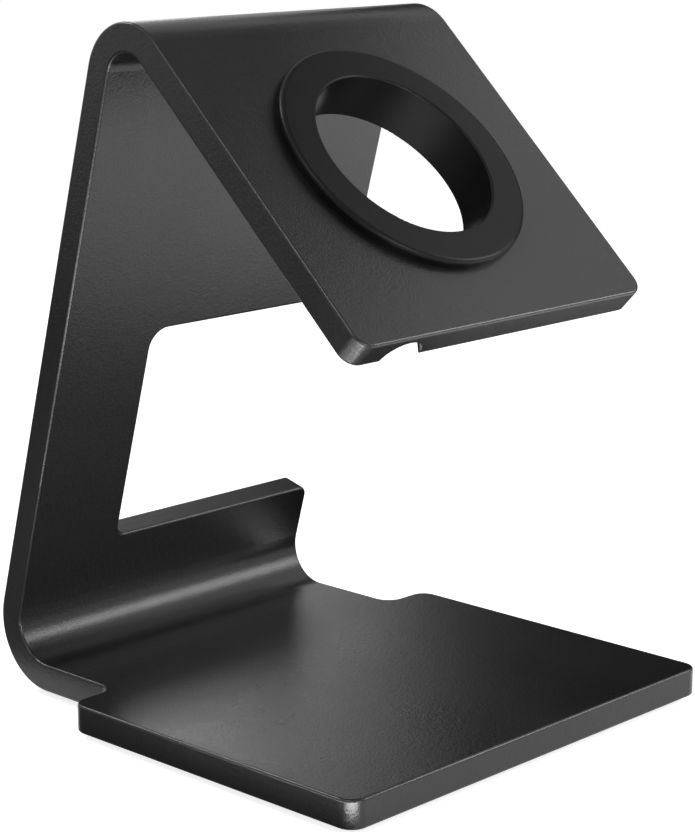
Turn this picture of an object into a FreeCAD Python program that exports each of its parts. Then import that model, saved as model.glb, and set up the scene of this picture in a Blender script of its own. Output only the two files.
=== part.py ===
import FreeCAD, Part
import math
import os

import Sketcher

# Charging dock for a wrist watch: one bent metal plate, one rubber collar that
# grips the round charger, and four non-slip pads. Millimetres and degrees.
# Origin: middle of the footprint on the table. -Y is the front, +Z is up.

SIZES = [
    ("plate_thickness", 4.12, "metal plate with its coating"),
    ("base_width", 73.2, "flat base, side to side"),
    ("sheet_width", 57.4, "back panel and head, side to side"),
    ("overall_depth", 78.7, "front edge to the rear of the lower bend"),
    ("plate_height", 97.4, "underside of the base to the crest of the top bend"),
    ("lean_angle", 15.44, "back panel, forward of upright"),
    ("head_slope", 43.55, "head, below level"),
    ("lower_bend_radius", 5.5, "inside of the bend at the back of the base"),
    ("top_bend_radius", 3.8, "inside of the bend at the top"),
    ("head_flat", 51.75, "flat of the head, top bend to front edge"),
    ("wing_depth", 54.0, "front edge to the rear of the base's wings"),
    ("corner_radius", 2.5, "corners of the base, its wings and the head"),
    ("edge_round", 0.4, "rounding along the plate's edges"),
    ("window_left", 11.8, "left side of the window, left of the middle"),
    ("window_low", 8.9, "sill, above the end of the lower bend"),
    ("window_high", 42.4, "top of the window, above the end of the lower bend"),
    ("window_top_radius", 3.0, "upper inner corner of the window"),
    ("window_low_radius", 1.6, "other corners of the window"),
    ("charger_radius", 13.8, "bore of the collar, which grips the charger"),
    ("hole_radius", 16.2, "hole in the head"),
    ("collar_fit", 0.03, "gap all round between the collar and its hole"),
    ("collar_from_front", 27.75, "collar axis to the head's front edge"),
    ("flange_radius", 19.1, "front flange of the collar"),
    ("flange_height", 1.48, "front flange, above the head"),
    ("flange_round", 0.7, "outer rims of the flanges"),
    ("rear_flange_radius", 18.2, "rear flange of the collar"),
    ("rear_flange_height", 2.2, "rear flange, behind the head"),
    ("bore_round", 0.3, "rims of the bore"),
    ("channel_radius", 3.1, "half-round cable channel under the head"),
    ("channel_angle", 34.5, "channel, from straight ahead towards the left"),
    ("channel_length", 38.0, "channel, from the collar axis past the front edge"),
    ("slot_width", 4.6, "cable slot in the rear of the collar"),
    ("slot_roof", 1.6, "roof of the slot, below the head's top face"),
    ("slot_length", 20.0, "cable slot, from the collar axis outwards"),
    ("pad_radius", 5.0, "non-slip pad"),
    ("pad_height", 1.0, "non-slip pad"),
    ("pad_round", 0.25, "lower rim of a pad"),
    ("front_pad_inset", 12.5, "front pads, middle to the edges of the base"),
    ("rear_pad_side", 12.5, "rear pads, middle to the side of the sheet"),
    ("rear_pad_inset", 15.5, "rear pads, middle to the rear of the bend"),
    ("tool_margin", 2.0, "reach of a cut past the face it starts from"),
]

doc = FreeCAD.newDocument("ChargingDock")
sheet = doc.addObject("Spreadsheet::Sheet", "Sizes")
for row, (alias, size, note) in enumerate(SIZES, start=1):
    sheet.set("A%d" % row, alias)
    sheet.set("B%d" % row, str(size))
    sheet.set("C%d" % row, note)
    sheet.setAlias("B%d" % row, alias)
doc.recompute()


def value(expression):
    """Number that an expression has at the sizes of the sheet."""
    return float(sheet.evalExpression(expression))


# Places that follow from the sizes, as expressions.
FRONT_Y = "(-Sizes.overall_depth / 2)"
LOWER_OUTER = "(Sizes.lower_bend_radius + Sizes.plate_thickness)"
TOP_OUTER = "(Sizes.top_bend_radius + Sizes.plate_thickness)"
LOWER_Y = "(Sizes.overall_depth / 2 - %s)" % LOWER_OUTER
LOWER_Z = "(Sizes.pad_height + %s)" % LOWER_OUTER
TOP_Z = "(Sizes.pad_height + Sizes.plate_height - %s)" % TOP_OUTER
BEND_STEP = "(Sizes.lower_bend_radius - Sizes.top_bend_radius)"
PANEL_FLAT = ("((%s - %s - %s * sin(Sizes.lean_angle)) / cos(Sizes.lean_angle))"
              % (TOP_Z, LOWER_Z, BEND_STEP))
TOP_Y = ("(%s - %s * sin(Sizes.lean_angle) + %s * cos(Sizes.lean_angle))"
         % (LOWER_Y, PANEL_FLAT, BEND_STEP))
# Upper end of the head's flat top face, and the collar's centre further down it.
HEAD_Y = "(%s - %s * sin(Sizes.head_slope))" % (TOP_Y, TOP_OUTER)
HEAD_Z = "(%s + %s * cos(Sizes.head_slope))" % (TOP_Z, TOP_OUTER)
COLLAR_DOWN = "(Sizes.head_flat - Sizes.collar_from_front)"
COLLAR_Y = "(%s - %s * cos(Sizes.head_slope))" % (HEAD_Y, COLLAR_DOWN)
COLLAR_Z = "(%s - %s * sin(Sizes.head_slope))" % (HEAD_Z, COLLAR_DOWN)
# The window is cut from in front of the back panel's inner face.
WINDOW_REACH = "(Sizes.lower_bend_radius - Sizes.tool_margin)"
WINDOW_Y = "(%s + %s * cos(Sizes.lean_angle))" % (LOWER_Y, WINDOW_REACH)
WINDOW_Z = "(%s + %s * sin(Sizes.lean_angle))" % (LOWER_Z, WINDOW_REACH)

FRONT_PAD_X = "(Sizes.base_width / 2 - Sizes.front_pad_inset)"
FRONT_PAD_Y = "(%s + Sizes.front_pad_inset)" % FRONT_Y
REAR_PAD_X = "(Sizes.sheet_width / 2 - Sizes.rear_pad_side)"
REAR_PAD_Y = "(Sizes.overall_depth / 2 - Sizes.rear_pad_inset)"
PADS = [
    ("pad_front_left", "(-%s)" % FRONT_PAD_X, FRONT_PAD_Y),
    ("pad_front_right", FRONT_PAD_X, FRONT_PAD_Y),
    ("pad_rear_left", "(-%s)" % REAR_PAD_X, REAR_PAD_Y),
    ("pad_rear_right", REAR_PAD_X, REAR_PAD_Y),
]


def add_body(name):
    body = doc.addObject("PartDesign::Body", name)
    body.Label = name
    return body


def add_sketch(body, plane, name):
    """Sketch on one of the body's own planes, such as XY_Plane."""
    sketch = body.newObject("Sketcher::SketchObject", name)
    support = [f for f in body.Origin.OriginFeatures if f.Role == plane][0]
    sketch.AttachmentSupport = [(support, "")]
    sketch.MapMode = "FlatFace"
    return sketch


def shift(item, shifts, axis=None, turn=None):
    """Moves and turns a sketch or plane on its support, by expressions that follow the sheet."""
    base = FreeCAD.Vector(0, 0, 0)
    for letter, expression in shifts.items():
        setattr(base, letter, value(expression))
    rotation = FreeCAD.Rotation()
    if axis is not None:
        rotation = FreeCAD.Rotation(axis, value(turn))
    item.AttachmentOffset = FreeCAD.Placement(base, rotation)
    for letter, expression in shifts.items():
        item.setExpression("AttachmentOffset.Base." + letter, expression)
    if axis is not None:
        item.setExpression("AttachmentOffset.Rotation.Angle", turn)


def add_head_plane(body, name):
    """Plane in the head's top face, with its origin on the collar's axis."""
    plane = body.newObject("PartDesign::Plane", name)
    support = [f for f in body.Origin.OriginFeatures if f.Role == "XY_Plane"][0]
    plane.AttachmentSupport = [(support, "")]
    plane.MapMode = "FlatFace"
    shift(plane, {"y": COLLAR_Y, "z": COLLAR_Z}, FreeCAD.Vector(1, 0, 0), "Sizes.head_slope")
    return plane


def add_head_sketch(body, plane, name, height, turned=False):
    """Sketch parallel to the head, centred on the collar's axis, turned to the channel or not."""
    sketch = body.newObject("Sketcher::SketchObject", name)
    sketch.AttachmentSupport = [(plane, "")]
    sketch.MapMode = "FlatFace"
    if turned:
        shift(sketch, {"z": height}, FreeCAD.Vector(0, 0, -1), "Sizes.channel_angle")
    else:
        shift(sketch, {"z": height})
    return sketch


def bind(sketch, index, name, expression):
    """Names a constraint and ties it to an expression."""
    sketch.renameConstraint(index, name)
    sketch.setExpression("Constraints." + name, expression)


def hold_coordinate(sketch, geometry, point, across, expression, name):
    """Holds one coordinate of a point at an expression of either sign."""
    kind = "DistanceX" if across else "DistanceY"
    distance = value(expression)
    if distance < 0:
        ends = (geometry, point, -1, 1)
        bound = "-(%s)" % expression
    else:
        ends = (-1, 1, geometry, point)
        bound = expression
    index = sketch.addConstraint(Sketcher.Constraint(kind, *ends, abs(distance)))
    bind(sketch, index, name, bound)


def draw_arc(sketch, centre, radius, start, end):
    circle = Part.Circle(centre, FreeCAD.Vector(0, 0, 1), radius)
    return sketch.addGeometry(Part.ArcOfCircle(circle, start, end), False)


def draw_line(sketch, start, end):
    return sketch.addGeometry(Part.LineSegment(start, end), False)


def draw_corner(sketch, before, after, spot, arrive, leave, radius):
    """Arc between two lines that meet at a right angle at spot; returns its index."""
    centre = spot - arrive * radius + leave * radius
    turns_left = arrive.x * leave.y - arrive.y * leave.x > 0
    first = leave * -1
    last = arrive
    start_angle = math.atan2(first.y, first.x)
    end_angle = math.atan2(last.y, last.x)
    if turns_left:
        arc = draw_arc(sketch, centre, radius, start_angle, end_angle)
        ends = (1, 2)
    else:
        arc = draw_arc(sketch, centre, radius, end_angle, start_angle)
        ends = (2, 1)
    sketch.addConstraint(Sketcher.Constraint("Tangent", before, 2, arc, ends[0]))
    sketch.addConstraint(Sketcher.Constraint("Tangent", arc, ends[1], after, 1))
    return arc


def draw_outline(sketch, corners):
    """Closed outline of level and upright lines.

    Each corner is (x, y, radius), three expressions, with radius None where it is sharp.
    """
    count = len(corners)
    spots = [FreeCAD.Vector(value(x), value(y), 0) for x, y, radius in corners]
    radii = [0.0 if corner[2] is None else value(corner[2]) for corner in corners]
    heads = [(spots[(i + 1) % count] - spots[i]).normalize() for i in range(count)]
    lines = []
    for i in range(count):
        start = spots[i] + heads[i] * radii[i]
        end = spots[(i + 1) % count] - heads[i] * radii[(i + 1) % count]
        lines.append(draw_line(sketch, start, end))
    for i, line in enumerate(lines):
        level = abs(heads[i].x) > abs(heads[i].y)
        sketch.addConstraint(Sketcher.Constraint("Horizontal" if level else "Vertical", line))
        place = corners[i][1] if level else corners[i][0]
        hold_coordinate(sketch, line, 1, not level, place, "side_%d" % i)
    for i, (x, y, radius) in enumerate(corners):
        if radius is None:
            sketch.addConstraint(Sketcher.Constraint("Coincident", lines[i - 1], 2, lines[i], 1))
            continue
        arc = draw_corner(sketch, lines[i - 1], lines[i], spots[i], heads[i - 1], heads[i], radii[i])
        index = sketch.addConstraint(Sketcher.Constraint("Radius", arc, radii[i]))
        bind(sketch, index, "round_%d" % i, radius)


def draw_circle(sketch, x, y, radius):
    centre = FreeCAD.Vector(value(x), value(y), 0)
    circle = sketch.addGeometry(Part.Circle(centre, FreeCAD.Vector(0, 0, 1), value(radius)), False)
    hold_coordinate(sketch, circle, 3, True, x, "centre_across")
    hold_coordinate(sketch, circle, 3, False, y, "centre_up")
    index = sketch.addConstraint(Sketcher.Constraint("Radius", circle, value(radius)))
    bind(sketch, index, "radius", radius)


def pad_up(body, sketch, name, length, midplane=False):
    pad = body.newObject("PartDesign::Pad", name)
    pad.Profile = sketch
    pad.Midplane = midplane
    pad.Length = value(length)
    pad.setExpression("Length", length)
    body.Tip = pad
    doc.recompute()
    return pad


def pocket_down(body, sketch, name, length, upward=False):
    pocket = body.newObject("PartDesign::Pocket", name)
    pocket.Profile = sketch
    pocket.Reversed = upward
    pocket.Length = value(length)
    pocket.setExpression("Length", length)
    body.Tip = pocket
    doc.recompute()
    return pocket


def turn_round(body, sketch, kind, name):
    """Full turn of a sketch about its own upright axis, added or cut."""
    feature = body.newObject("PartDesign::" + kind, name)
    feature.Profile = sketch
    feature.ReferenceAxis = (sketch, ["V_Axis"])
    feature.Angle = 360
    body.Tip = feature
    doc.recompute()
    return feature


def round_edges(body, before, edges, name, radius):
    """Fillet on edges of the feature before it, given by their names."""
    fillet = body.newObject("PartDesign::Fillet", name)
    fillet.Base = (before, edges)
    fillet.Radius = value(radius)
    fillet.setExpression("Radius", radius)
    body.Tip = fillet
    doc.recompute()
    return fillet


def middle_of(edge):
    return edge.valueAt((edge.FirstParameter + edge.LastParameter) / 2)


def edges_near(shape, spots):
    """Name of the edge whose middle is nearest to each spot."""
    middles = [middle_of(edge) for edge in shape.Edges]
    names = []
    for spot in spots:
        gaps = [(middle - spot).Length for middle in middles]
        names.append("Edge%d" % (gaps.index(min(gaps)) + 1))
    return names


def sharp_edges(shape, least_turn=40.0):
    """Names of the edges where two faces meet at more than least_turn degrees."""
    names = []
    for number, edge in enumerate(shape.Edges, start=1):
        faces = [face for face in shape.Faces if any(edge.isSame(other) for other in face.Edges)]
        if len(faces) != 2:
            continue
        middle = middle_of(edge)
        normals = [face.normalAt(*face.Surface.parameter(middle)) for face in faces]
        if math.degrees(normals[0].getAngle(normals[1])) > least_turn:
            names.append("Edge%d" % number)
    return names


def tilted(angle, y, z):
    """Vector of the YZ plane, turned up from +Y towards +Z by angle degrees."""
    turn = math.radians(angle)
    return FreeCAD.Vector(0, y * math.cos(turn) - z * math.sin(turn),
                          y * math.sin(turn) + z * math.cos(turn))


def draw_bent_line(sketch, lower_radius, top_radius, base_drop):
    """One face of the plate in side view, front edge to front edge; returns its five pieces."""
    lean = math.radians(value("Sizes.lean_angle"))
    slope = math.radians(value("Sizes.head_slope"))
    rear = FreeCAD.Vector(math.cos(lean), math.sin(lean), 0)
    top = FreeCAD.Vector(-math.sin(slope), math.cos(slope), 0)
    down = FreeCAD.Vector(-math.cos(slope), -math.sin(slope), 0)
    lower = FreeCAD.Vector(value(LOWER_Y), value(LOWER_Z), 0)
    upper = FreeCAD.Vector(value(TOP_Y), value(TOP_Z), 0)
    bend_start = lower - FreeCAD.Vector(0, value(lower_radius), 0)
    head_start = upper + top * value(top_radius)
    base = draw_line(sketch, FreeCAD.Vector(value(FRONT_Y), bend_start.y, 0), bend_start)
    lower_bend = draw_arc(sketch, lower, value(lower_radius), -math.pi / 2, lean)
    panel = draw_line(sketch, lower + rear * value(lower_radius), upper + rear * value(top_radius))
    top_bend = draw_arc(sketch, upper, value(top_radius), lean, math.pi / 2 + slope)
    head = draw_line(sketch, head_start, head_start + down * value("Sizes.head_flat"))
    sketch.addConstraint(Sketcher.Constraint("Tangent", base, 2, lower_bend, 1))
    sketch.addConstraint(Sketcher.Constraint("Tangent", lower_bend, 2, panel, 1))
    sketch.addConstraint(Sketcher.Constraint("Tangent", panel, 2, top_bend, 1))
    sketch.addConstraint(Sketcher.Constraint("Tangent", top_bend, 2, head, 1))
    sketch.addConstraint(Sketcher.Constraint("Horizontal", base))
    for name, arc, radius in (("lower_radius", lower_bend, lower_radius),
                              ("top_radius", top_bend, top_radius)):
        index = sketch.addConstraint(Sketcher.Constraint("Radius", arc, value(radius)))
        bind(sketch, index, name + base_drop, radius)
    return base, lower_bend, panel, top_bend, head


def draw_side_view(sketch):
    """Side view of the plate: base, lower bend, back panel, top bend and head."""
    outer = draw_bent_line(sketch, LOWER_OUTER, TOP_OUTER, "_outside")
    inner = draw_bent_line(sketch, "Sizes.lower_bend_radius", "Sizes.top_bend_radius", "_inside")
    closings = []
    for piece, end in ((0, 1), (4, 2)):
        spots = [sketch.getPoint(chain[piece], end) for chain in (outer, inner)]
        line = draw_line(sketch, spots[0], spots[1])
        sketch.addConstraint(Sketcher.Constraint("Coincident", line, 1, outer[piece], end))
        sketch.addConstraint(Sketcher.Constraint("Coincident", line, 2, inner[piece], end))
        closings.append(line)
    sketch.addConstraint(Sketcher.Constraint("Vertical", closings[0]))
    sketch.addConstraint(Sketcher.Constraint("Perpendicular", closings[1], outer[4]))
    for bend in (1, 3):
        sketch.addConstraint(Sketcher.Constraint("Coincident", outer[bend], 3, inner[bend], 3))
    hold_coordinate(sketch, outer[0], 1, True, FRONT_Y, "front_edge")
    hold_coordinate(sketch, outer[1], 3, True, LOWER_Y, "lower_bend_y")
    hold_coordinate(sketch, outer[1], 3, False, LOWER_Z, "lower_bend_z")
    hold_coordinate(sketch, outer[3], 3, True, TOP_Y, "top_bend_y")
    hold_coordinate(sketch, outer[3], 3, False, TOP_Z, "top_bend_z")
    flat = value("Sizes.head_flat")
    slope = math.radians(value("Sizes.head_slope"))
    for name, direction, expression in (
            ("head_run", "DistanceX", "Sizes.head_flat * cos(Sizes.head_slope)"),
            ("head_fall", "DistanceY", "Sizes.head_flat * sin(Sizes.head_slope)")):
        length = flat * (math.cos(slope) if direction == "DistanceX" else math.sin(slope))
        index = sketch.addConstraint(Sketcher.Constraint(direction, outer[4], 2, outer[4], 1, length))
        bind(sketch, index, name, expression)


def build_stand_plate():
    """The bent plate with its winged base, window, collar hole and cable channel."""
    body = add_body("stand_plate")
    side_view = add_sketch(body, "YZ_Plane", "SideView")
    draw_side_view(side_view)
    pad_up(body, side_view, "BentStrip", "Sizes.sheet_width", midplane=True)

    plan = add_sketch(body, "XY_Plane", "BasePlan")
    shift(plan, {"z": "Sizes.pad_height"})
    base_left, base_right = "(-Sizes.base_width / 2)", "(Sizes.base_width / 2)"
    sheet_left, sheet_right = "(-Sizes.sheet_width / 2)", "(Sizes.sheet_width / 2)"
    wing_rear = "(%s + Sizes.wing_depth)" % FRONT_Y
    # A narrow wing limits its own corners.
    corner = "min(Sizes.corner_radius; (Sizes.base_width - Sizes.sheet_width) * 0.225)"
    draw_outline(plan, [
        (base_left, FRONT_Y, corner),
        (base_right, FRONT_Y, corner),
        (base_right, wing_rear, corner),
        (sheet_right, wing_rear, corner),
        (sheet_right, LOWER_Y, None),
        (sheet_left, LOWER_Y, None),
        (sheet_left, wing_rear, corner),
        (base_left, wing_rear, corner),
    ])
    pad_up(body, plan, "WingedBase", "Sizes.plate_thickness")

    window = add_sketch(body, "XY_Plane", "Window")
    shift(window, {"y": WINDOW_Y, "z": WINDOW_Z}, FreeCAD.Vector(1, 0, 0), "(90 + Sizes.lean_angle)")
    past_side = "(Sizes.sheet_width / 2 + Sizes.tool_margin)"
    draw_outline(window, [
        ("(-Sizes.window_left)", "Sizes.window_low", "Sizes.window_low_radius"),
        (past_side, "Sizes.window_low", None),
        (past_side, "Sizes.window_high", None),
        ("(-Sizes.window_left)", "Sizes.window_high", "Sizes.window_top_radius"),
    ])
    opened = pocket_down(body, window, "OpenWindow", "Sizes.plate_thickness + 2 * Sizes.tool_margin")
    round_plate(body, opened)
    cut_head(body)
    return body


def round_plate(body, opened):
    """Rounds the corners that the sketches leave sharp, then every edge of the plate."""
    half = FreeCAD.Vector(value("Sizes.sheet_width / 2"), 0, 0)
    head_middle = FreeCAD.Vector(0, value(HEAD_Y), value(HEAD_Z))
    head_middle = head_middle + tilted(value("Sizes.head_slope"), -value("Sizes.head_flat"),
                                       -value("Sizes.plate_thickness / 2"))
    head_corners = edges_near(opened.Shape, [head_middle - half, head_middle + half])
    rounded = round_edges(body, opened, head_corners, "HeadCorners", "Sizes.corner_radius")
    panel_start = FreeCAD.Vector(0, value(LOWER_Y), value(LOWER_Z)) + half
    middle = value("Sizes.lower_bend_radius + Sizes.plate_thickness / 2")
    spots = [panel_start + tilted(value("Sizes.lean_angle"), middle, value(height))
             for height in ("Sizes.window_low", "Sizes.window_high")]
    rounded = round_edges(body, rounded, edges_near(rounded.Shape, spots), "OpenCorners",
                          "Sizes.window_low_radius")
    round_edges(body, rounded, sharp_edges(rounded.Shape), "EdgeRounding", "Sizes.edge_round")


def cut_head(body):
    """The collar's hole, and the half-round channel from it to the head's front edge."""
    head = add_head_plane(body, "HeadTop")
    hole = add_head_sketch(body, head, "CollarHole", "Sizes.tool_margin")
    draw_circle(hole, "0", "0", "Sizes.hole_radius")
    pocket_down(body, hole, "CutCollarHole", "Sizes.plate_thickness + 2 * Sizes.tool_margin")
    channel = add_head_sketch(body, head, "CableChannel", "-Sizes.plate_thickness", turned=True)
    draw_outline(channel, [
        ("0", "(-Sizes.channel_length)", None),
        ("Sizes.channel_radius", "(-Sizes.channel_length)", None),
        ("Sizes.channel_radius", "0", None),
        ("0", "0", None),
    ])
    turn_round(body, channel, "Groove", "CutCableChannel")


def build_charger_collar():
    """The flanged rubber ring, seated on both faces of the head."""
    body = add_body("charger_collar")
    section = add_sketch(body, "YZ_Plane", "Section")
    shift(section, {"x": COLLAR_Y, "y": COLLAR_Z}, FreeCAD.Vector(0, 0, 1), "Sizes.head_slope")
    bore = "Sizes.charger_radius"
    neck = "(Sizes.hole_radius - Sizes.collar_fit)"
    underside = "(-Sizes.plate_thickness)"
    rear_end = "(-Sizes.plate_thickness - Sizes.rear_flange_height)"
    draw_outline(section, [
        (bore, rear_end, "Sizes.bore_round"),
        ("Sizes.rear_flange_radius", rear_end, "Sizes.flange_round"),
        ("Sizes.rear_flange_radius", underside, None),
        (neck, underside, None),
        (neck, "0", None),
        ("Sizes.flange_radius", "0", None),
        ("Sizes.flange_radius", "Sizes.flange_height", "Sizes.flange_round"),
        (bore, "Sizes.flange_height", "Sizes.bore_round"),
    ])
    turn_round(body, section, "Revolution", "FlangedRing")

    head = add_head_plane(body, "CollarSeat")
    slot = add_head_sketch(body, head, "CableSlot", rear_end + " - Sizes.tool_margin", turned=True)
    draw_outline(slot, [
        ("(-Sizes.slot_width / 2)", "(-Sizes.slot_length)", None),
        ("(Sizes.slot_width / 2)", "(-Sizes.slot_length)", None),
        ("(Sizes.slot_width / 2)", "0", None),
        ("(-Sizes.slot_width / 2)", "0", None),
    ])
    slot_depth = ("Sizes.plate_thickness + Sizes.rear_flange_height + Sizes.tool_margin"
                  " - Sizes.slot_roof")
    pocket_down(body, slot, "CutCableSlot", slot_depth, upward=True)
    return body


def build_pad(name, x, y):
    """One non-slip disc under the base, with its lower rim rounded."""
    body = add_body(name)
    disc = add_sketch(body, "XY_Plane", name + "_outline")
    draw_circle(disc, x, y, "Sizes.pad_radius")
    solid = pad_up(body, disc, name + "_disc", "Sizes.pad_height")
    rim = ["Edge%d" % number for number, edge in enumerate(solid.Shape.Edges, start=1)
           if len(edge.Vertexes) == 1 and middle_of(edge).z < value("Sizes.pad_height / 2")]
    round_edges(body, solid, rim, name + "_rim", "Sizes.pad_round")
    return body


def export(bodies):
    """Stops on any faulty object, then writes one STEP file for each sub-part."""
    doc.recompute()
    faulty = [item.Label for item in doc.Objects if "Invalid" in item.State or "Error" in item.State]
    if faulty:
        raise RuntimeError("not recomputed: " + ", ".join(faulty))
    os.makedirs("parts", exist_ok=True)
    for body in bodies:
        shape = body.Shape
        if shape.isNull() or not shape.isValid() or len(shape.Solids) != 1:
            raise RuntimeError(body.Label + " is not one valid solid")
        shape.exportStep("parts/" + body.Label + ".step")


parts = [build_stand_plate(), build_charger_collar()]
for pad_name, pad_x, pad_y in PADS:
    parts.append(build_pad(pad_name, pad_x, pad_y))
export(parts)
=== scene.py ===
"""Looks of an empty charging dock for a wrist watch.

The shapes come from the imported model. This file gives each piece its finish, and
adds the studio: a white floor and surroundings, soft lamps, dark cards and the
camera of the photograph. Lengths are metres. The origin is the middle of the
footprint on the floor, -Y is the front and +Z is up.
"""

from __future__ import annotations

import logging
import math
from dataclasses import dataclass, field
from enum import Enum

import bpy
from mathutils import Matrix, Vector


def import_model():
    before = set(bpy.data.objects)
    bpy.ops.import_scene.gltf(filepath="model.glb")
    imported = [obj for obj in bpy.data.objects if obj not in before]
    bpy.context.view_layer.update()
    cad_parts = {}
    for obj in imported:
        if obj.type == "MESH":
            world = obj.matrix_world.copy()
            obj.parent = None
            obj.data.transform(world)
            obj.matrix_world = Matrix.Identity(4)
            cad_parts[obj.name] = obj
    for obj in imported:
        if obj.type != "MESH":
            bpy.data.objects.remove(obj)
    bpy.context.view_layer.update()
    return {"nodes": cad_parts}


LOG = logging.getLogger("charging_dock")

# Sockets of a Mix node that blends colours.
MIX_BLEND, MIX_FIRST, MIX_SECOND, MIX_COLOUR = 0, 6, 7, 2
# The part of its range that a noise pattern really fills.
DARK_SPOT, LIGHT_SPOT = 0.3, 0.7
# A lamp or card on the floor lies just clear of it, and a second one over the first.
FLOOR_LEVEL = 0.0005
UPPER_FLOOR_LEVEL = 0.0008
# Height of the point that a lamp or card on the floor faces.
ABOVE_FLOOR = 1.0

Colour = tuple[float, float, float]
Point = tuple[float, float, float]


class Piece(Enum):
    """Names of the dock's pieces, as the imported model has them."""

    PLATE = "stand_plate"
    COLLAR = "charger_collar"
    PAD_FRONT_LEFT = "pad_front_left"
    PAD_FRONT_RIGHT = "pad_front_right"
    PAD_REAR_LEFT = "pad_rear_left"
    PAD_REAR_RIGHT = "pad_rear_right"


class Shader:
    """A node material that is built up one node at a time."""

    def __init__(self, name: str) -> None:
        """Starts a material that holds only its output and a Principled shader.

        Args:
            name: name of the material.
        """
        self.material = bpy.data.materials.new(name)
        self.material.use_nodes = True
        self.tree = self.material.node_tree
        self.tree.nodes.clear()
        self.output = self.node("ShaderNodeOutputMaterial")
        self.principled = self.node("ShaderNodeBsdfPrincipled")
        self.link(self.principled.outputs["BSDF"], self.output.inputs["Surface"])
        coordinates = self.node("ShaderNodeTexCoord")
        self.place = coordinates.outputs["Object"]

    def node(self, kind: str) -> bpy.types.Node:
        """Adds a node.

        Args:
            kind: type name of the node.

        Returns:
            The new node.
        """
        return self.tree.nodes.new(kind)

    def link(self, source: bpy.types.NodeSocket, target: bpy.types.NodeSocket) -> None:
        """Joins an output to an input.

        Args:
            source: the output.
            target: the input.
        """
        self.tree.links.new(source, target)

    def constant(self, socket: str, value: float | Colour) -> None:
        """Sets a Principled socket that is the same all over the surface.

        Args:
            socket: name of the socket.
            value: its number or colour.
        """
        filled = (*value, 1.0) if isinstance(value, tuple) else value
        self.principled.inputs[socket].default_value = filled

    def noise(self, per_metre: float, detail: float,
              rough: float = 0.5) -> bpy.types.NodeSocket:
        """Adds a noise pattern in the piece's own place.

        Args:
            per_metre: how many spots there are along a metre.
            detail: octaves of finer spots.
            rough: strength of the finer spots.

        Returns:
            The pattern's output, from 0 to 1.
        """
        texture = self.node("ShaderNodeTexNoise")
        texture.inputs["Scale"].default_value = per_metre
        texture.inputs["Detail"].default_value = detail
        texture.inputs["Roughness"].default_value = rough
        self.link(self.place, texture.inputs["Vector"])
        return texture.outputs["Fac"]

    def spread(self, pattern: bpy.types.NodeSocket, low: float,
               high: float) -> bpy.types.NodeSocket:
        """Stretches a noise pattern's middle to a range of numbers.

        Args:
            pattern: the pattern.
            low: number at the pattern's dark spots.
            high: number at its light spots.

        Returns:
            The stretched pattern.
        """
        mapped = self.node("ShaderNodeMapRange")
        mapped.inputs["From Min"].default_value = DARK_SPOT
        mapped.inputs["From Max"].default_value = LIGHT_SPOT
        mapped.inputs["To Min"].default_value = low
        mapped.inputs["To Max"].default_value = high
        self.link(pattern, mapped.inputs["Value"])
        return mapped.outputs["Result"]

    def tint(self, pattern: bpy.types.NodeSocket, dark: Colour,
             light: Colour) -> bpy.types.NodeSocket:
        """Turns a pattern into a blend of two colours.

        Args:
            pattern: blend, 0 for dark and 1 for light.
            dark: one colour.
            light: the other colour.

        Returns:
            The colour.
        """
        mixed = self.node("ShaderNodeMix")
        mixed.data_type = "RGBA"
        mixed.inputs[MIX_FIRST].default_value = (*dark, 1.0)
        mixed.inputs[MIX_SECOND].default_value = (*light, 1.0)
        self.link(pattern, mixed.inputs[MIX_BLEND])
        return mixed.outputs[MIX_COLOUR]

    def relief(self, pattern: bpy.types.NodeSocket, depth: float,
               under: bpy.types.NodeSocket | None = None) -> bpy.types.NodeSocket:
        """Adds a bump of a real depth.

        Args:
            pattern: height, from 0 to 1.
            depth: height of the pattern's full range, in metres.
            under: normal of a coarser bump that this one lies on.

        Returns:
            The bumped normal.
        """
        bump = self.node("ShaderNodeBump")
        bump.inputs["Strength"].default_value = 1.0
        bump.inputs["Distance"].default_value = depth
        self.link(pattern, bump.inputs["Height"])
        if under is not None:
            self.link(under, bump.inputs["Normal"])
        return bump.outputs["Normal"]


@dataclass(frozen=True)
class SurfaceFinish:
    """A finish: fine grains on a low peel, and a gloss that varies slowly in clouds."""

    name: str
    dark: Colour
    light: Colour
    smoothest: float
    roughest: float
    specular: float
    grains_per_metre: float
    grain_depth: float
    waves_per_metre: float
    wave_depth: float
    clouds_per_metre: float = 45.0
    grain_detail: float = 3.0
    grain_sharpness: float = 0.6
    wave_detail: float = 1.0
    cloud_detail: float = 2.0

    def material(self) -> bpy.types.Material:
        """Builds the finish as a node material.

        Returns:
            The material.
        """
        shader = Shader(self.name)
        sockets = shader.principled.inputs
        grains = shader.noise(self.grains_per_metre, self.grain_detail, self.grain_sharpness)
        clouds = shader.noise(self.clouds_per_metre, self.cloud_detail)
        waves = shader.noise(self.waves_per_metre, self.wave_detail)
        flecks = shader.spread(grains, 0.0, 1.0)
        shader.link(shader.tint(flecks, self.dark, self.light), sockets["Base Color"])
        gloss = shader.spread(clouds, self.smoothest, self.roughest)
        shader.link(gloss, sockets["Roughness"])
        wavy = shader.relief(waves, self.wave_depth)
        shader.link(shader.relief(grains, self.grain_depth, wavy), sockets["Normal"])
        shader.constant("Specular IOR Level", self.specular)
        LOG.info("finish %s", self.name)
        return shader.material


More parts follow.
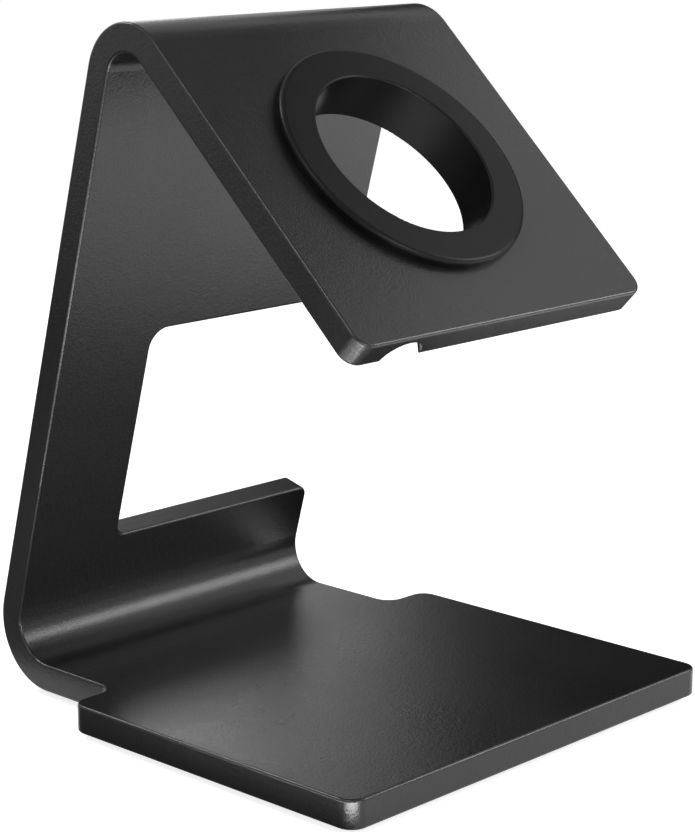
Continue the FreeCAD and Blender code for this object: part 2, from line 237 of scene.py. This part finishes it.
POWDER_COAT = SurfaceFinish(
    name="black_powder_coat",
    dark=(0.0030, 0.0030, 0.0031),
    light=(0.0060, 0.0060, 0.0062),
    smoothest=0.26,
    roughest=0.32,
    specular=0.44,
    grains_per_metre=2800.0,
    grain_depth=0.000032,
    waves_per_metre=900.0,
    wave_depth=0.000012,
)
COLLAR_RUBBER = SurfaceFinish(
    name="matt_collar_rubber",
    dark=(0.0018, 0.0018, 0.0019),
    light=(0.0034, 0.0034, 0.0035),
    smoothest=0.34,
    roughest=0.42,
    specular=0.15,
    grains_per_metre=4200.0,
    grain_depth=0.000010,
    waves_per_metre=500.0,
    wave_depth=0.000012,
)
PAD_RUBBER = SurfaceFinish(
    name="matt_pad_rubber",
    dark=(0.0110, 0.0110, 0.0112),
    light=(0.0180, 0.0180, 0.0182),
    smoothest=0.66,
    roughest=0.78,
    specular=0.30,
    grains_per_metre=3000.0,
    grain_depth=0.00003,
    waves_per_metre=400.0,
    wave_depth=0.00002,
)


@dataclass
class DressedPieces:
    """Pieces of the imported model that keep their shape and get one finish."""

    finish: SurfaceFinish
    pieces: tuple[Piece, ...]

    def dress(self, nodes: dict[str, bpy.types.Object]) -> None:
        """Gives each piece the finish.

        Args:
            nodes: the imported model's objects by name.
        """
        material = self.finish.material()
        for piece in self.pieces:
            mesh = nodes[piece.value].data
            mesh.materials.clear()
            mesh.materials.append(material)
            LOG.info("%s wears %s", piece.value, self.finish.name)


@dataclass(frozen=True)
class Lamp:
    """A soft lamp: a rectangle that shines towards a point."""

    name: str
    place: Point
    towards: Point
    width: float
    height: float
    watts: float

    def light(self) -> None:
        """Adds the lamp to the scene."""
        data = bpy.data.lights.new(self.name, "AREA")
        data.shape = "RECTANGLE"
        data.size = self.width
        data.size_y = self.height
        data.energy = self.watts
        lamp = bpy.data.objects.new(self.name, data)
        lamp.location = self.place
        aim = Vector(self.towards) - Vector(self.place)
        lamp.rotation_mode = "QUATERNION"
        lamp.rotation_quaternion = aim.to_track_quat("-Z", "Y")
        lamp.visible_camera = False
        bpy.context.scene.collection.objects.link(lamp)
        LOG.info("lamp %s, %.3f W", self.name, self.watts)


@dataclass(frozen=True)
class DarkCard:
    """A dark card beside the dock, which shows only in the dock's gloss."""

    name: str
    place: Point
    towards: Point
    width: float
    height: float
    shade: float
    roughness: float = 1.0

    def put_up(self) -> None:
        """Adds the card to the scene."""
        bpy.ops.object.select_all(action="DESELECT")
        bpy.ops.mesh.primitive_plane_add(size=1.0)
        card = bpy.context.active_object
        card.name = self.name
        card.scale = (self.width, self.height, 1.0)
        aim = Vector(self.towards) - Vector(self.place)
        card.rotation_mode = "QUATERNION"
        card.rotation_quaternion = aim.to_track_quat("Z", "Y")
        card.location = self.place
        shader = Shader(self.name)
        shader.constant("Base Color", (self.shade, self.shade, self.shade))
        shader.constant("Roughness", self.roughness)
        shader.constant("Specular IOR Level", 0.0)
        card.data.materials.append(shader.material)
        card.visible_camera = False
        card.visible_diffuse = False
        card.visible_shadow = False


@dataclass(frozen=True)
class ViewCamera:
    """The photograph's camera."""

    place: Point = (-0.24344, -0.23576, 0.11951)
    yaw: float = -46.362
    pitch: float = -12.866
    lens: float = 106.0
    sensor: float = 36.0
    nearest: float = 0.01
    farthest: float = 20.0

    def set_up(self) -> None:
        """Adds the camera and makes it the scene's."""
        yaw, pitch = math.radians(self.yaw), math.radians(self.pitch)
        forward = Vector((
            -math.sin(yaw) * math.cos(pitch),
            math.cos(yaw) * math.cos(pitch),
            math.sin(pitch),
        ))
        data = bpy.data.cameras.new("photo_camera")
        data.lens = self.lens
        data.sensor_width = self.sensor
        data.clip_start, data.clip_end = self.nearest, self.farthest
        camera = bpy.data.objects.new("photo_camera", data)
        camera.location = self.place
        camera.rotation_mode = "QUATERNION"
        camera.rotation_quaternion = forward.to_track_quat("-Z", "Y")
        bpy.context.scene.collection.objects.link(camera)
        bpy.context.scene.camera = camera


@dataclass
class Studio:
    """White floor and surroundings, soft lamps, dark cards and the camera."""

    floor_size: float = 6.0
    floor_colour: Colour = (0.80, 0.80, 0.80)
    floor_roughness: float = 0.9
    floor_lift: float = 0.80
    room_light: float = 0.256
    room_reflection: float = 0.80
    lamps: tuple[Lamp, ...] = field(default_factory=tuple)
    cards: tuple[DarkCard, ...] = field(default_factory=tuple)
    camera: ViewCamera = field(default_factory=ViewCamera)

    def seen(self, tree: bpy.types.NodeTree) -> bpy.types.NodeSocket:
        """Adds the test for rays of the camera, of a reflection or through glass.

        Args:
            tree: node tree that needs the test.

        Returns:
            Output that is 1 for such rays, and otherwise 0.
        """
        path = tree.nodes.new("ShaderNodeLightPath")
        either = tree.nodes.new("ShaderNodeMath")
        either.operation = "MAXIMUM"
        tree.links.new(path.outputs["Is Camera Ray"], either.inputs[0])
        tree.links.new(path.outputs["Is Glossy Ray"], either.inputs[1])
        any_ray = tree.nodes.new("ShaderNodeMath")
        any_ray.operation = "MAXIMUM"
        tree.links.new(either.outputs[0], any_ray.inputs[0])
        tree.links.new(path.outputs["Is Transmission Ray"], any_ray.inputs[1])
        return any_ray.outputs[0]

    def build_room(self) -> None:
        """Adds surroundings: white to the camera, paler in a gloss, dim as a light."""
        world = bpy.data.worlds.new("white_room")
        bpy.context.scene.world = world
        world.use_nodes = True
        tree = world.node_tree
        tree.nodes.clear()
        output = tree.nodes.new("ShaderNodeOutputWorld")
        room = tree.nodes.new("ShaderNodeBackground")
        room.inputs["Color"].default_value = (1.0, 1.0, 1.0, 1.0)
        level = tree.nodes.new("ShaderNodeMapRange")
        level.inputs["To Min"].default_value = self.room_light
        level.inputs["To Max"].default_value = self.room_reflection
        tree.links.new(self.seen(tree), level.inputs["Value"])
        path = tree.nodes.new("ShaderNodeLightPath")
        white = tree.nodes.new("ShaderNodeMath")
        white.operation = "MAXIMUM"
        tree.links.new(level.outputs["Result"], white.inputs[0])
        tree.links.new(path.outputs["Is Camera Ray"], white.inputs[1])
        tree.links.new(white.outputs[0], room.inputs["Strength"])
        tree.links.new(room.outputs["Background"], output.inputs["Surface"])

    def build_floor(self) -> None:
        """Adds the floor, which keeps the dock's shadow."""
        bpy.ops.object.select_all(action="DESELECT")
        bpy.ops.mesh.primitive_plane_add(size=self.floor_size, location=(0.0, 0.0, 0.0))
        floor = bpy.context.active_object
        floor.name = "floor"
        shader = Shader("white_floor")
        shader.constant("Base Color", self.floor_colour)
        shader.constant("Roughness", self.floor_roughness)
        shader.constant("Specular IOR Level", 0.0)
        shader.constant("Emission Color", (1.0, 1.0, 1.0))
        lift = shader.node("ShaderNodeMath")
        lift.operation = "MULTIPLY"
        lift.inputs[1].default_value = self.floor_lift
        shader.link(self.seen(shader.tree), lift.inputs[0])
        shader.link(lift.outputs[0], shader.principled.inputs["Emission Strength"])
        floor.data.materials.append(shader.material)

    def set_up(self) -> None:
        """Builds the whole studio."""
        self.build_room()
        self.build_floor()
        for lamp in self.lamps:
            lamp.light()
        for card in self.cards:
            card.put_up()
        self.camera.set_up()
        bpy.context.scene.view_settings.view_transform = "Standard"


def floor_lamp(name: str, x: float, y: float, width: float, height: float, watts: float,
               lean: float = 0.0) -> Lamp:
    """Makes a lamp that lies on the floor and shines up.

    Args:
        name: name of the lamp.
        x: its middle, to the right.
        y: its middle, to the rear.
        width: its first side.
        height: its second side.
        watts: its power.
        lean: how far the point above that it faces is off, to the right and to the rear
            alike. Any lean also turns the second side to that diagonal.

    Returns:
        The lamp.
    """
    faced = (x + lean, y + lean, ABOVE_FLOOR)
    return Lamp(name, (x, y, FLOOR_LEVEL), faced, width, height, watts)


def floor_card(name: str, x: float, y: float, width: float, height: float, shade: float,
               level: float = FLOOR_LEVEL) -> DarkCard:
    """Makes a card that lies on the floor.

    Args:
        name: name of the card.
        x: its middle, to the right.
        y: its middle, to the rear.
        width: its first side.
        height: its second side.
        shade: how light it is.
        level: its height above the floor.

    Returns:
        The card.
    """
    return DarkCard(name, (x, y, level), (x, y, ABOVE_FLOOR), width, height, shade)


LAMPS = (
    Lamp("right_softbox", (0.270, -0.225, 0.195), (0.0, 0.010, 0.015), 0.10, 0.15, 0.50),
    Lamp("high_right_softbox", (0.250, 0.050, 0.300), (0.0, 0.010, 0.020), 0.12, 0.12, 0.03),
    Lamp("head_softbox", (0.330, -0.110, 0.400), (0.0, 0.0, 0.080), 0.16, 0.16, 0.065),
    Lamp("rear_softbox", (-0.120, 0.360, 0.420), (0.0, 0.0, 0.050), 0.12, 0.12, 0.80),
    Lamp("window_softbox", (0.245, 0.316, 0.178), (-0.010, -0.010, 0.006), 0.04, 0.085, 0.030),
    Lamp("left_softbox", (-0.310, -0.120, 0.420), (0.0, 0.0, 0.060), 0.11, 0.11, 0.50),
    Lamp("front_softbox", (-0.120, -0.480, 0.070), (0.0, 0.0, 0.050), 0.14, 0.12, 0.80),
    floor_lamp("left_floor_glow", -0.180, -0.006, 0.24, 0.06, 0.055),
    floor_lamp("right_floor_glow", 0.130, -0.110, 0.14, 0.12, 0.038),
    floor_lamp("edge_floor_glow", -0.088, -0.018, 0.06, 0.08, 0.17),
    floor_lamp("corner_floor_glow", -0.058, -0.061, 0.015, 0.05, 0.050, lean=-0.010),
    floor_lamp("front_edge_glow", 0.155, -0.200, 0.12, 0.09, 0.10),
)
CARDS = (
    DarkCard("rear_right_card", (0.518, 0.052, 0.17), (0.084, -0.362, 0.17), 0.60, 0.36, 0.02),
    floor_card("left_floor_card", -0.317, 0.305, 0.56, 0.56, 0.10),
    floor_card("left_near_card", -0.105, 0.100, 0.14, 0.15, 0.34, level=UPPER_FLOOR_LEVEL),
    floor_card("side_floor_card", -0.048, -0.010, 0.023, 0.07, 0.25),
    floor_card("right_floor_card", 0.102, 0.030, 0.126, 0.11, 0.02),
    DarkCard("upper_card", (0.090, -0.004, 0.243), (-0.018, 0.010, 0.089), 0.13, 0.13, 0.30),
)


def main() -> None:
    """Dresses the dock piece by piece and sets up the studio."""
    logging.basicConfig(level=logging.INFO, format="%(name)s: %(message)s")
    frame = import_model()
    nodes = frame["nodes"]
    plate = DressedPieces(POWDER_COAT, (Piece.PLATE,))
    collar = DressedPieces(COLLAR_RUBBER, (Piece.COLLAR,))
    pads = DressedPieces(PAD_RUBBER, (
        Piece.PAD_FRONT_LEFT,
        Piece.PAD_FRONT_RIGHT,
        Piece.PAD_REAR_LEFT,
        Piece.PAD_REAR_RIGHT,
    ))
    for dressed in (plate, collar, pads):
        dressed.dress(nodes)
    Studio(lamps=LAMPS, cards=CARDS).set_up()


if __name__ == "__main__":
    main()
